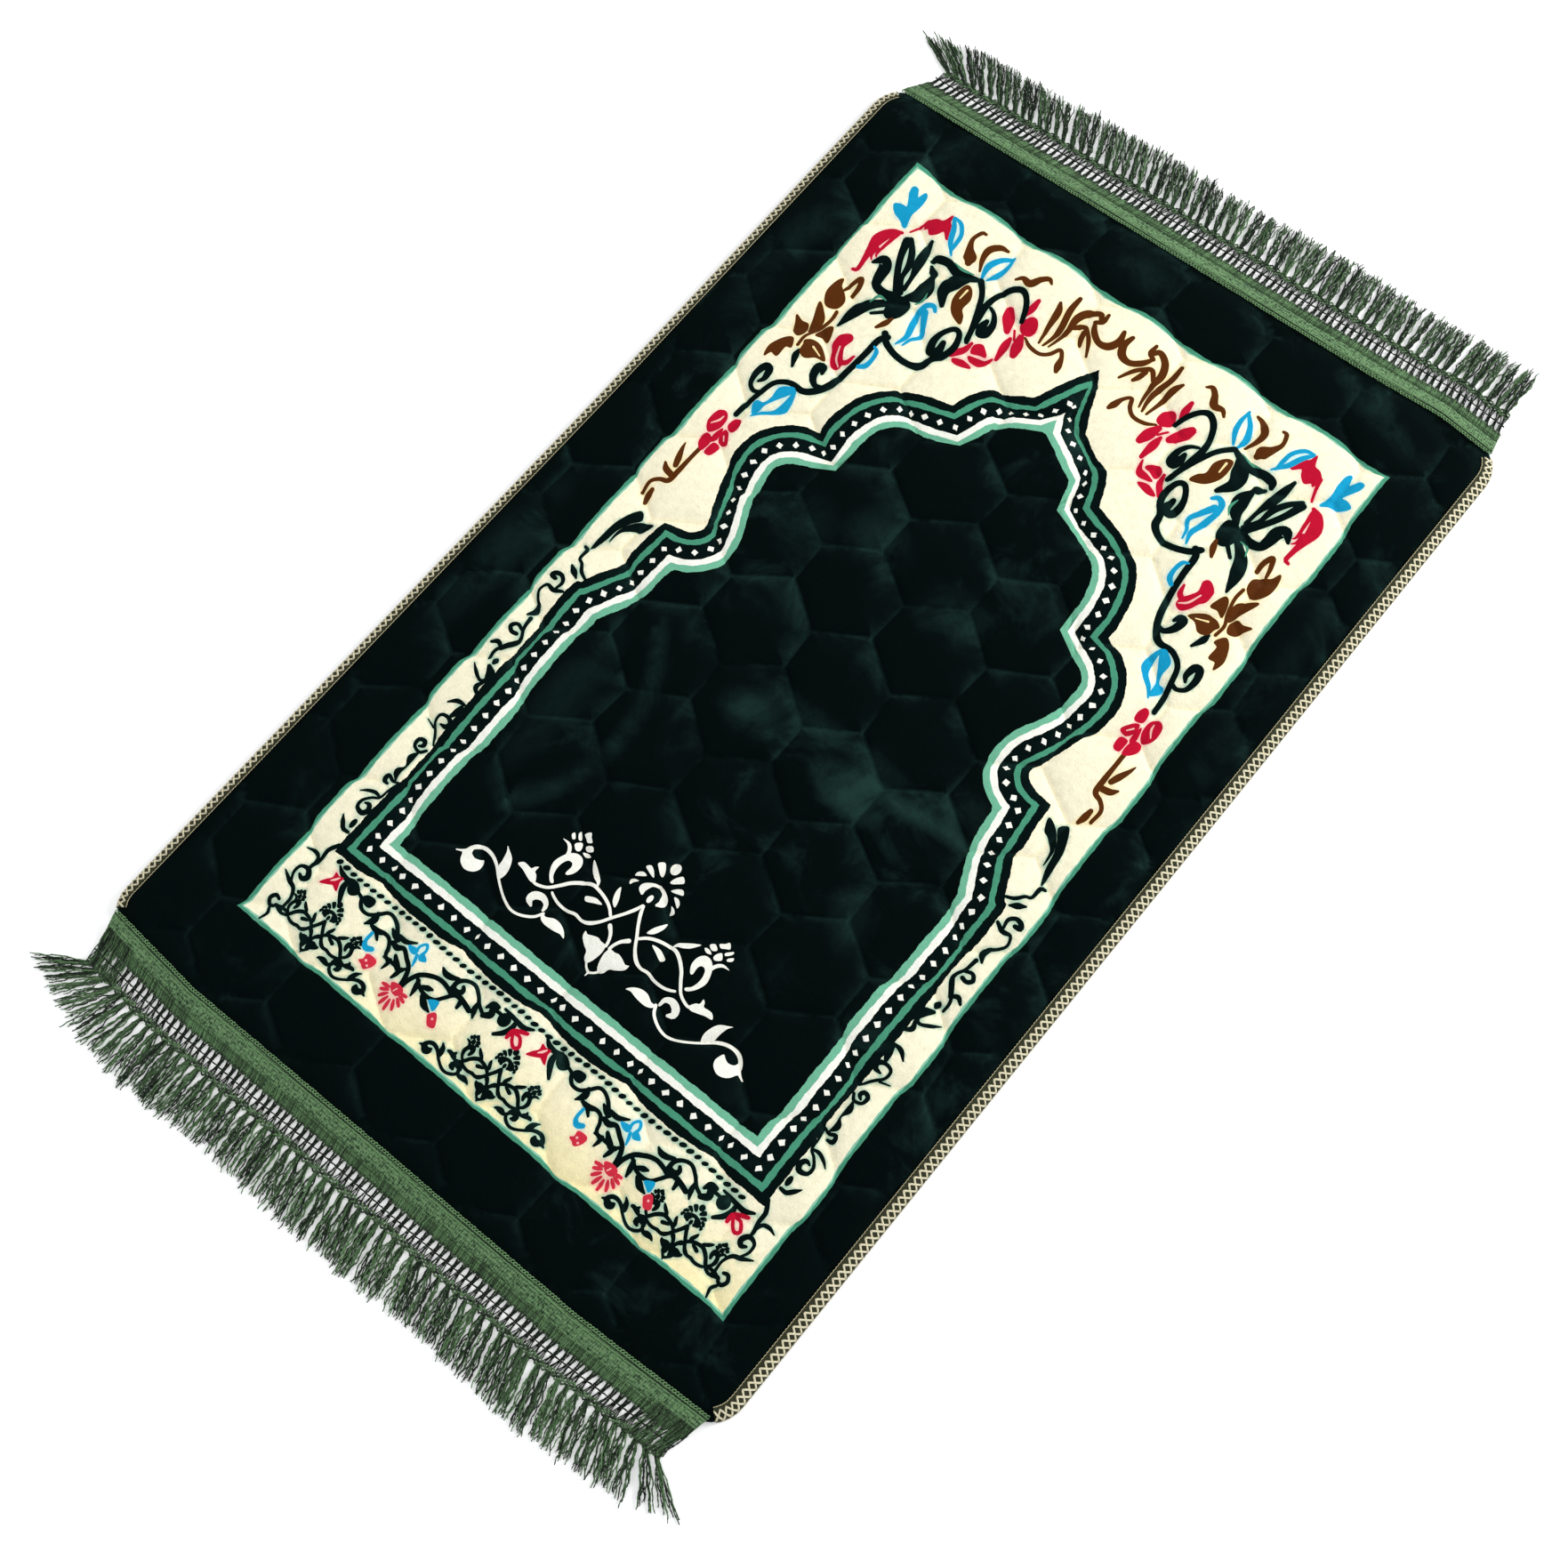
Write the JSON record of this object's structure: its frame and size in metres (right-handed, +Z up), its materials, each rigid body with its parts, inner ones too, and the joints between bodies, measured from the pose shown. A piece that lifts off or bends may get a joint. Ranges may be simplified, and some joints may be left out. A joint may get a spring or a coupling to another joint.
{
  "type": "prayer rug",
  "caption": "Flat padded prayer rug with quilted plush top, printed niche design, woven braid down the long edges and a netted tassel fringe at both ends.",
  "frame": {"origin": "middle of the pad's flat underside, on the surface that the rug lies on", "axes": "+Z up; +Y along the rug towards the point of its niche; +X across the rug to the right when looking towards the niche's point"},
  "size_m": [0.7386, 1.3336, 0.0126],
  "materials": {
    "printed_plush": "short cut pile plush with a soft sheen, dark green ground with a printed cream border and niche",
    "woven_braid": "matte cream cotton braid over a dark ground that shows as a row of small diamonds",
    "fringe_yarn": "matte sage green twisted yarn with a ribbed knitted heading"
  },
  "bodies": {
    "root": {"rug_pad": "printed_plush", "edge_braid_left": "woven_braid", "edge_braid_right": "woven_braid", "fringe_trim_bottom": "fringe_yarn", "fringe_trim_top": "fringe_yarn"}
  },
  "joints": []
}
